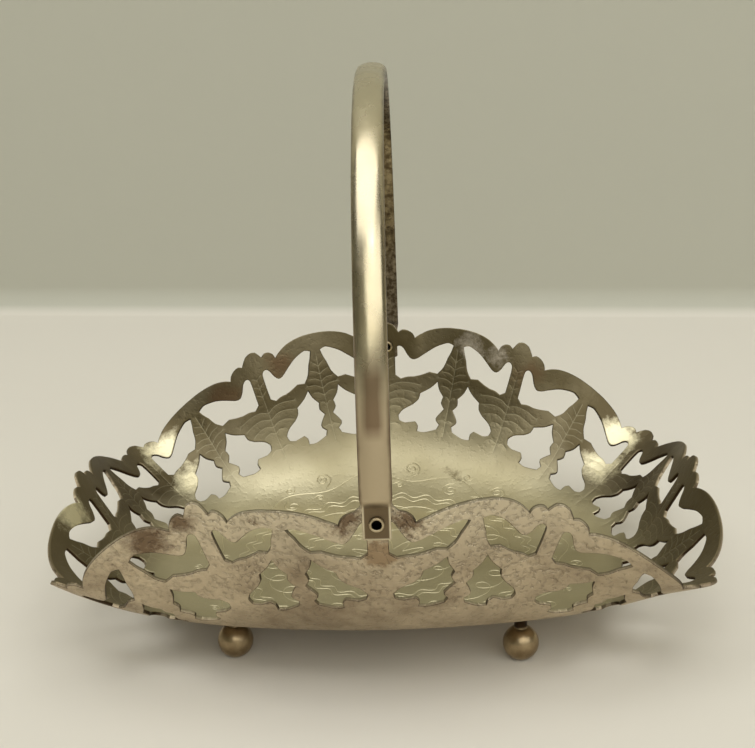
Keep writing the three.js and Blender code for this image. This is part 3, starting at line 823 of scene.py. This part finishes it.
parts = []
for label, where in (("Half lobe", elsewhere), ("Rivet lobe", at_side)):
    half = add(tree, "GeometryNodeObjectInfo", {"Object": given[label]})["Geometry"]
    other = add(tree, "GeometryNodeTransform", {"Geometry": half, "Scale": (1, -1, 1)})[0]
    other = add(tree, "GeometryNodeFlipFaces", {0: other})[0]
    lobe = add(tree, "GeometryNodeJoinGeometry", {0: [half, other]})[0]
    parts.append(add(tree, "GeometryNodeInstanceOnPoints",
                     {"Points": spots, "Selection": where, "Instance": lobe, "Rotation": turned})[0])
floor_piece = add(tree, "GeometryNodeObjectInfo", {"Object": given["Floor piece"]})["Geometry"]
parts.append(add(tree, "GeometryNodeInstanceOnPoints",
                 {"Points": spots, "Instance": floor_piece, "Rotation": turned})[0])
joined = add(tree, "GeometryNodeJoinGeometry", {0: parts})[0]
real = add(tree, "GeometryNodeRealizeInstances", {0: joined})[0]
welded = add(tree, "GeometryNodeMergeByDistance", {"Geometry": real, "Distance": given["Weld"]})[0]
coated = add(tree, "GeometryNodeSetMaterial", {"Geometry": welded, "Material": given["Finish"]})[0]
add(tree, "NodeGroupOutput", {0: coated})

flat_blank = run_tree(tree, half_lobe=plain_half, rivet_lobe=rivet_half, floor_piece=floor_part,
                      lobes=LOBES, weld=0.01, finish=silver)
print("flat blank:", len(flat_blank.vertices), "points,", len(flat_blank.polygons), "faces")

# %% [markdown]
# ## Pressing and thickness
#
# Each point of the flat blank is moved to its pressed place, once for the upper face and once for the
# underside, with walls between them along every edge. The worn edges and the grooves are heights above
# the middle layer, so they bend with the sheet. Each point also keeps three values for the finish: how
# far it belongs to the inside, how deep it is engraved, and how near it is to an outline underneath.

# %% The pressed dish
BLANK_END = 82  # radius of the real blank at the low ends
WORN_SLOPE, GROOVE_DEPTH = 0.6, 0.1  # slope of the worn edges, and depth of the grooves in mm


def values_of(mesh, label):
    out = np.zeros(len(mesh.vertices), np.float32)
    mesh.attributes[label].data.foreach_get("value", out)
    return out.astype(float)


def points_of(mesh):
    out = np.zeros(len(mesh.vertices) * 3, np.float32)
    mesh.vertices.foreach_get("co", out)
    return out.reshape(-1, 3).astype(float)


def finished(mesh, finish, body, stands_for, sharp_over=35):
    """Makes a mesh a piece of the model: it gets smooth faces, a finish, and its place in the frame."""
    mesh.shade_smooth()
    mesh.set_sharp_from_angle(angle=math.radians(sharp_over))
    mesh.materials.clear()
    mesh.materials.append(finish)
    made = placed(mesh.name, mesh)
    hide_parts(*stands_for)
    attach(made, body)
    points = points_of(mesh) / MM
    box = [corner.round(2).tolist() for corner in (points.min(0), points.max(0))]
    print(mesh.name, len(mesh.polygons), "faces, box in mm", box)


def from_drawing(points):
    """Radius on the real blank, which is a little shorter toward its ends, and the angle."""
    rho = np.hypot(points[:, 0], points[:, 1])
    angle = np.arctan2(points[:, 1], points[:, 0])
    short = BLANK - (BLANK_END + (BLANK_SIDE - BLANK_END) * np.sin(angle) ** 2)
    return rho - short * np.clip(rho / FLOOR_RING, 0, 1), angle


flat = points_of(flat_blank)
groove, edge = values_of(flat_blank, "groove"), values_of(flat_blank, "worn_edge")
radius, around = from_drawing(flat)
half_thick = SHEET / 2 - WORN_SLOPE * BEVEL * edge
upper = pressed(radius, around, half_thick - GROOVE_DEPTH * groove)
lower = pressed(radius, around, -half_thick)
count = len(flat)
top = [tuple(face.vertices) for face in flat_blank.polygons]
sides = {(a, b) for face in top for a, b in zip(face, face[1:] + face[:1])}
open_sides = [(a, b) for a, b in sorted(sides) if (b, a) not in sides]
faces = top + [tuple(v + count for v in reversed(face)) for face in top]
faces += [(b, a, a + count, b + count) for a, b in open_sides]
dish = new_mesh("pierced_dish", np.vstack([upper, lower]) + (0, 0, FLOOR_Z), faces,
                inside=np.repeat([1, 0], count), engraved=np.concatenate([groove, groove * 0]),
                worn_edge=np.concatenate([edge * 0, edge]))
finished(dish, silver, "basket_body", ["dish"], 20)

# %% [markdown]
# ## The handle
#
# The handle is a drawn bar with a flat inner face and a round back, bent to a hoop. Its ends are filed
# down to thin pads that lie on the lugs. The path is half of a squarish ellipse for the arch, set on
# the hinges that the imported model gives, and mirrored, so that both ends meet their rivets exactly.

# %% The hoop's path
rivet_low, rivet_high = (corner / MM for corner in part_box("hinge_rivet_back"))
HINGE_Z = (rivet_low.z + rivet_high.z) / 2
HEAD_THICK, SEAT_GAP = 0.45, 0.25
PAD_BELOW, PAD_WIDTH, PAD_THICK = 3.3, 5.4, 1.2
PAD_INNER = rivet_high.y - HEAD_THICK - SEAT_GAP - PAD_THICK
HANDLE_TOP, HANDLE_WIDTH, HANDLE_THICK, HANDLE_STEP = 120.95, 6.2, 2.4, 0.88
FULLNESS = 2.4  # 2 is an ellipse, and more is squarer at the shoulders
PATH_POINTS = 300

rise = HANDLE_TOP - HANDLE_THICK - HANDLE_STEP - HINGE_Z
arch = np.linspace(0, math.pi / 2, PATH_POINTS)
half = np.stack([PAD_INNER * np.cos(arch) ** (2 / FULLNESS),
                 HINGE_Z + rise * np.sin(arch) ** (2 / FULLNESS)], 1)
half = np.vstack([[(PAD_INNER, HINGE_Z - PAD_BELOW)], half])
hoop = np.vstack([half * (-1, 1), half[-2::-1]])
run = np.concatenate([[0], np.cumsum(np.linalg.norm(np.diff(hoop, axis=0), axis=1))])
print("the bar is", round(run[-1], 1), "mm long")

# %% [markdown]
# ### The bar along the path
#
# A loft follows the hoop: at every station the same section is drawn, narrower and thinner at the pads.
# A bevelled curve would be quicker, but its section can't change from a flat pad to a round back. The
# sections stand close together where the pads begin, and that makes the small step that shows dark
# above each rivet.

# %% The sections and the loft
STEP_AT, STEP_RUN = 6.2, 2.6  # where the pad ends, and how soon the bar is full
PAD_EDGE, BAR_EDGE = PAD_THICK * 0.72, 0.9  # how thick the sides are, where the back begins
ROUND_OFF, ROUND_RUN = 0.25, 0.3  # the very ends are rounded with a file
near = [0, 0.12, 0.3, 1.2, 2.6, 4, 5.2, 5.8] + list(np.linspace(6.1, 9, 13))
stations = near + list(np.linspace(9.5, run[-1] - 9.5, 150)) + [run[-1] - s for s in reversed(near)]


def d_section(width, thick, edge, full, corner=0.22):
    """Across the bar and out from its flat face. The pad's back is flat with eased edges, the bar's round."""
    turns = np.linspace(0, math.pi, 29)
    back = [(width / 2 * math.cos(t), edge + (thick - edge) * math.sin(t) ** (0.25 + 0.75 * full))
            for t in turns]
    left = [(-width / 2, corner), (-width / 2 + corner * 0.3, corner * 0.3), (-width / 2 + corner, 0)]
    inner = [(x, 0.0) for x in np.linspace(-width / 2 + corner, width / 2 - corner, 7)[1:-1]]
    return np.array(back + left + inner + [(-x, y) for x, y in reversed(left)])


rings = []
for s in stations:
    behind, spot, ahead = (np.array([np.interp(s + step, run, hoop[:, i]) for i in (0, 1)])
                           for step in (-0.3, 0, 0.3))
    outward = np.array((behind[1] - ahead[1], ahead[0] - behind[0])) / np.linalg.norm(ahead - behind)
    end = min(s, run[-1] - s)
    full = float(smooth((end - STEP_AT) / STEP_RUN))
    filed = ROUND_OFF * (1 - float(smooth(end / ROUND_RUN)))
    width = PAD_WIDTH + (HANDLE_WIDTH - PAD_WIDTH) * full - 2 * filed
    thick = PAD_THICK + (HANDLE_THICK - PAD_THICK) * full - filed
    section = d_section(width, thick, PAD_EDGE * (1 - full) + BAR_EDGE * full, full)
    places = spot + outward * (section[:, 1:] + HANDLE_STEP * full)
    rings.append(np.column_stack([section[:, 0], places]))
n = len(rings[0])
bar_faces = [(r * n + i, r * n + (i + 1) % n, (r + 1) * n + (i + 1) % n, (r + 1) * n + i)
             for r in range(len(rings) - 1) for i in range(n)]
last = (len(rings) - 1) * n
bar_faces += [tuple(reversed(range(n))), tuple(range(last, last + n))]
flat_side = np.tile(np.arange(n) > 30, len(rings))  # past the section's back and its first corner
bar = placed("swing_bar", new_mesh("swing_bar", np.vstack(rings), bar_faces, inner_face=flat_side))
print(len(rings), "sections of", n, "points")

# %% [markdown]
# ### Its finish
#
# The bar has been polished by hands. It keeps a strip of light along its round back, and tarnish is
# left where nobody rubs: the edges, the flat inner face with its grains, and the matt greige lower end.
# A brown streak below the hand is a painted dark reflection. The thin pad is dark, with its edges
# painted light as painted highlights.

# %% Polished plate
handled, tree, shader, place = new_finish("hand_polished_silver_plate")
across, _, up = add(tree, "SeparateXYZ", {0: place})
aside = add(tree, "Math", {0: across}, operation="ABSOLUTE")[0]
marks = mottling(tree, place, cloud=(12, 3, 0.55, 0.4, 0.3, 0.7), wander=(5, 4, 0.55, 0.0, 0, 1),
                 grain=(0.7, 5, 0.7, 0.0, 0.42, 0.62), fine=(2.5, 5, 0.55, 0.1, 0.3, 0.7))
edge = add(tree, "Math", (marks["wander"], 1.2 * MM, aside), operation="MULTIPLY_ADD")[0]
drift = add(tree, "Math", (marks["cloud"], 4 * MM, up), operation="MULTIPLY_ADD")[0]
# Where each look starts and ends in mm, and the shares it has there
fades = {"tarnish": (edge, 3.1, 3.8, 0, 0.8), "polish": (drift, 63, 74, 0, 1),
         "pad": (up, HINGE_Z + 3.2, HINGE_Z + 4.6, 1, 0),
         "dark_reflection_top": (up, 71, 77, 1, 0), "dark_reflection_foot": (up, 59.5, 62.5, 0, 0.75),
         "dark_reflection_sides": (edge, 1.6, 2.9, 1, 0), "pad_sides": (aside, 2.2, 2.45, 0, 1),
         "pad_foot": (up, HINGE_Z - 3.1, HINGE_Z - 2.8, 1, 0)}
where = {name: add(tree, "MapRange", (value, low * MM, high * MM, *shares))[0]
         for name, (value, low, high, *shares) in fades.items()}
# Painted reflection: a brown streak down the middle of the bar below the hand
painted_dark_reflection = where["dark_reflection_top"]
for span in ("dark_reflection_foot", "dark_reflection_sides"):
    painted_dark_reflection = add(tree, "Math", (painted_dark_reflection, where[span]), operation="MULTIPLY")[0]
# Painted highlight: the pad's sides and foot are painted light
rubbed = add(tree, "Math", (where["pad_sides"], where["pad_foot"]), operation="MAXIMUM")[0]
bright, pad, flat_face = (
    add(tree, "Mix", {0: share, 6: linear(dull), 7: linear(shiny)}, data_type="RGBA")[2]
    for share, dull, shiny in ((marks["cloud"], "c4b798", "d6ccb2"), (rubbed, "75654f", "dcd0b5"),
                               (marks["grain"], "4f4538", "8c8272")))
inner_face = add(tree, "Attribute", attribute_name="inner_face")["Fac"]
tone = linear("c0b094")
for share, colour in ((where["polish"], bright), (painted_dark_reflection, linear("6f563f")), (where["pad"], pad),
                      (where["tarnish"], linear("60493a")), (inner_face, flat_face)):
    tone = add(tree, "Mix", {0: share, 6: tone, 7: colour}, data_type="RGBA")[2]

gloss = add(tree, "MapRange", (where["polish"], 0, 1, 0.44, 0.20))[0]
gloss = add(tree, "Math", (marks["fine"], 0.12, gloss), operation="MULTIPLY_ADD")[0]
stretched = add(tree, "Mapping", {"Vector": place, "Scale": (1, 0.08, 0.08)})[0]
lines = mottling(tree, stretched, scratches=(0.7, 2, 0.55, 0.0, 0, 1))["scratches"]
scratch = add(tree, "Bump", {"Height": lines, "Distance": 0.06 * MM, "Strength": 0.35})[0]
feed(tree, shader, {"Base Color": tone, "Metallic": 1.0, "Roughness": gloss, "Normal": scratch})
print(handled.name, "has", len(tree.nodes), "nodes")

# %% [markdown]
# ### The rivet holes
#
# The holes are drilled last, through both pads, as they were on the real bar. The drill is a solid
# turned from a profile, and the same function turns the rivets and the feet later on. The cut leaves
# a few slivers where it meets the loft, so the mesh is cleaned until each edge has two faces.

# %% A solid turned on the lathe, and the drilling
def lathe(profile, steps, name):
    """A closed solid turned about Z from (radius, height) points, the first and last on the axis."""
    points, rows = [], []
    for r, h in profile:
        turns = np.arange(1 if r == 0 else steps) * 2 * math.pi / steps
        rows.append([len(points) + k for k in range(len(turns))])
        points += [(r * math.cos(t), r * math.sin(t), h) for t in turns]
    faces = []
    for low, high in zip(rows, rows[1:]):
        for k in range(steps):
            a, b = low[k % len(low)], low[(k + 1) % steps % len(low)]
            c, d = high[(k + 1) % steps % len(high)], high[k % len(high)]
            faces.append(tuple(dict.fromkeys((a, b, c, d))))
    return new_mesh(name, points, faces)


DRILL_HALF = 4  # mm, well past the pad on both sides
SLIVER = 0.004 * MM
for side in (-1, 1):
    drill = lathe([(0, -DRILL_HALF), (RIVET_HOLE, -DRILL_HALF), (RIVET_HOLE, DRILL_HALF), (0, DRILL_HALF)],
                  40, "drill")
    at_hinge = Matrix.Translation(Vector((0, side * 60, HINGE_Z)) * MM)
    drill.transform(at_hinge @ Matrix.Rotation(math.pi / 2, 4, "X"))
    tool = bpy.data.objects.new("drill", drill)
    hole = bar.modifiers.new("hole", "BOOLEAN")
    hole.object, hole.operation, hole.solver = tool, "DIFFERENCE", "EXACT"
handle_mesh = plain_mesh(bar)
handle_mesh.name = "swing_handle_bar"
shell = bmesh.new()
shell.from_mesh(handle_mesh)
bmesh.ops.remove_doubles(shell, verts=shell.verts, dist=SLIVER)
bmesh.ops.dissolve_degenerate(shell, edges=shell.edges, dist=SLIVER / 2)
bmesh.ops.holes_fill(shell, edges=[e for e in shell.edges if len(e.link_faces) < 2], sides=0)
bmesh.ops.triangulate(shell, faces=[f for f in shell.faces if len(f.verts) > 4])
bmesh.ops.recalc_face_normals(shell, faces=shell.faces)
print("edges without two faces:", sum(len(e.link_faces) != 2 for e in shell.edges))
shell.to_mesh(handle_mesh)
shell.free()
finished(handle_mesh, handled, "swing_handle", ["handle"])
for tool in [o for o in bpy.data.objects if o.name.startswith("drill")]:
    bpy.data.objects.remove(tool)

# %% [markdown]
# ## Setting turned pieces out
#
# The two rivets are alike, and so are the four feet. Each is turned once, and Geometry Nodes set copies
# out on points that carry their own turn. Copies made by hand would do for six pieces, but this way a
# change to one profile changes them all.

# %% Setting a turned piece out on its places
set_out, given = new_tree("set_out", Turned_piece="Object", Places="Object", Finish="Material")
turned_piece = add(set_out, "GeometryNodeObjectInfo", {"Object": given["Turned piece"]})["Geometry"]
spots = add(set_out, "GeometryNodeObjectInfo", {"Object": given["Places"]})["Geometry"]
tilt = add(set_out, "GeometryNodeInputNamedAttribute", {"Name": "turn"}, data_type="FLOAT_VECTOR")[0]
copies = add(set_out, "GeometryNodeInstanceOnPoints",
             {"Points": spots, "Instance": turned_piece, "Rotation": tilt})[0]
copies = add(set_out, "GeometryNodeRealizeInstances", {0: copies})[0]
copies = add(set_out, "GeometryNodeSetMaterial", {"Geometry": copies, "Material": given["Finish"]})[0]
add(set_out, "NodeGroupOutput", {0: copies})


def set_on(name, turned, places, turns, finish):
    """Copies of a turned piece on their places in mm, each with its turn in radians, as one mesh."""
    spots = new_mesh("places", places, [], turn=turns)
    made = run_tree(set_out, turned_piece=bpy.data.objects.new("one_of_" + name, turned),
                    places=bpy.data.objects.new("places", spots), finish=finish)
    made.name = name
    return made


print("sockets of", set_out.name + ":", [item.name for item in set_out.interface.items_tree])

# %% [markdown]
# ### The hollow rivets
#
# A hollow rivet is a thin tube with a turned rim, rolled over at its other end, so that it looks like an
# eyelet. A thin web closes the bore half-way, and the web and the bore's wall are painted near black as
# painted shade in the hole. The rim is turned brass with most of its plate left.

# %% The hollow rivets
eyelet, tree, shader, place = new_finish("turned_rivet_plate")
grime = mottling(tree, place, grime=(1.2, 3, 0.55, 0.0, 0.35, 0.65))["grime"]
bore = add(tree, "Attribute", attribute_name="bore")["Fac"]
tone = linear("a8977a")
# Painted shade: the bore and the web across it are painted near black
for share, colour in ((grime, "cdbf9f"), (bore, "120d09")):
    tone = add(tree, "Mix", {0: share, 6: tone, 7: linear(colour)}, data_type="RGBA")[2]
gloss = add(tree, "MapRange", (grime, 0, 1, 0.38, 0.26))[0]
feed(tree, shader, {"Base Color": tone, "Metallic": 1.0, "Roughness": gloss})

BORE, SHANK, HEAD, PAINTED_SHADE_WEB = 0.92, 1.0, 1.5, 0.1  # radii in mm, and half the thickness of the web that is painted dark as shade in the bore
y_middle = (rivet_low.y + rivet_high.y) / 2
inner = rivet_low.y - y_middle
outer = -inner
under_head, under_roll = outer - HEAD_THICK, inner + HEAD_THICK
EASE = 0.3  # how far in from the head's edge its rounding begins
roll = [(HEAD - EASE + EASE * math.cos(t), HEAD_THICK * math.sin(t))
        for t in np.linspace(0.2, math.pi / 2, 6)]
profile = [(0, PAINTED_SHADE_WEB), (BORE, PAINTED_SHADE_WEB), (BORE, outer - 0.14), (BORE + 0.12, outer - 0.02)]
profile += [(r, under_head + h) for r, h in reversed(roll)] + [(HEAD, under_head), (SHANK, under_head)]
profile += [(SHANK, under_roll), (HEAD, under_roll)] + [(r, under_roll - h) for r, h in roll]
profile += [(BORE + 0.12, inner + 0.02), (BORE, inner + 0.14), (BORE, -PAINTED_SHADE_WEB), (0, -PAINTED_SHADE_WEB)]
profile.reverse()
rivet = lathe(profile, 48, "hollow_rivet")
from_axis = np.hypot(*points_of(rivet)[:, :2].T) / MM
# The bore's wall and web are marked for the painted shade
keep_on(rivet, bore=from_axis < BORE + 0.01)
rivets = set_on("hollow_rivets", rivet, [(0, -y_middle, HINGE_Z), (0, y_middle, HINGE_Z)],
                [(math.pi / 2, 0, 0), (-math.pi / 2, 0, 0)], eyelet)
finished(rivets, eyelet, "basket_body", ["hinge_rivet_front", "hinge_rivet_back"])

# %% [markdown]
# ### The ball feet
#
# The feet are cast balls, worn flat where they stand, on a short neck of solder that flares where it
# meets the dish. The underside slopes there, so the top of each neck is moved on to it afterwards, and
# the ball keeps its shape. Casting left the balls duller and browner than the sheet, with dark joints.

# %% The ball feet
dull_ball, tree, shader, place = new_finish("tarnished_cast_ball")
height = add(tree, "SeparateXYZ", {0: place})[2]
marks = mottling(tree, place, grime=(2.2, 4, 0.55, 0.0, 0.35, 0.65), cast=(0.8, 3, 0.55, 0.0, 0, 1))
drift = add(tree, "Math", (marks["grime"], 0.6 * MM, height), operation="MULTIPLY_ADD")[0]
joint = add(tree, "MapRange", (drift, 7.2 * MM, 7.9 * MM))[0]
tone = linear("8f7c60")
for share, colour in ((marks["grime"], "bda987"), (joint, "35281c")):
    tone = add(tree, "Mix", {0: share, 6: tone, 7: linear(colour)}, data_type="RGBA")[2]
gloss = add(tree, "MapRange", (marks["grime"], 0, 1, 0.3, 0.42))[0]
cast = add(tree, "Bump", {"Height": marks["cast"], "Distance": 0.08 * MM, "Strength": 0.5})[0]
feed(tree, shader, {"Base Color": tone, "Metallic": 1.0, "Roughness": gloss, "Normal": cast})

BALL, BALL_FLAT, FOOT_TURN = 7.6, 1.3, -3.7  # across the ball and its flat in mm, and degrees
NECK, NECK_TOP, NECK_GAP = 1.35, 8.4, 0.05  # the last is left between the neck and the sheet
ball = BALL / 2
low_turn, high_turn = math.asin(BALL_FLAT / ball), math.pi - math.asin((NECK + 0.15) / ball)
middle = ball * math.cos(low_turn)
profile = [(0, 0), (BALL_FLAT - 0.15, 0)]
profile += [(ball * math.sin(t), middle - ball * math.cos(t)) for t in np.linspace(low_turn, high_turn, 28)]
neck_low = profile[-1][1]
profile += [(NECK, neck_low + 0.25), (NECK, NECK_TOP - 0.45), (NECK + 0.12, NECK_TOP - 0.2),
            (NECK + 0.45, NECK_TOP), (0, NECK_TOP)]
foot = lathe(profile, 48, "ball_foot")

corners = np.array([math.atan2(sy, sx) + math.radians(FOOT_TURN) for sx in (-1, 1) for sy in (-1, 1)])
under, lower = (pressed(np.full(4, FOOT_RADIUS), corners, np.full(4, height)) + (0, 0, FLOOR_Z)
                for height in (-SHEET / 2 - NECK_GAP, -SHEET))
upright = under - lower
feet = set_on("ball_feet", foot, under * (1, 1, 0), np.zeros((4, 3)), dull_ball)
points = points_of(feet) / MM
own = np.linalg.norm(points[:, None, :2] - under[None, :, :2], axis=2).argmin(1)
offset = points[:, :2] - under[own, :2]
seat = under[own, 2] - (offset * upright[own, :2]).sum(1) / upright[own, 2]
share = np.clip((points[:, 2] - neck_low) / (NECK_TOP - neck_low), 0, 1)
points[:, 2] += share * (seat - NECK_TOP)
feet.vertices.foreach_set("co", (points * MM).astype(np.float32).ravel())
feet_nodes = [name for name in sorted(frame["nodes"]) if name.startswith("ball_foot")]
finished(feet, dull_ball, "basket_body", feet_nodes)
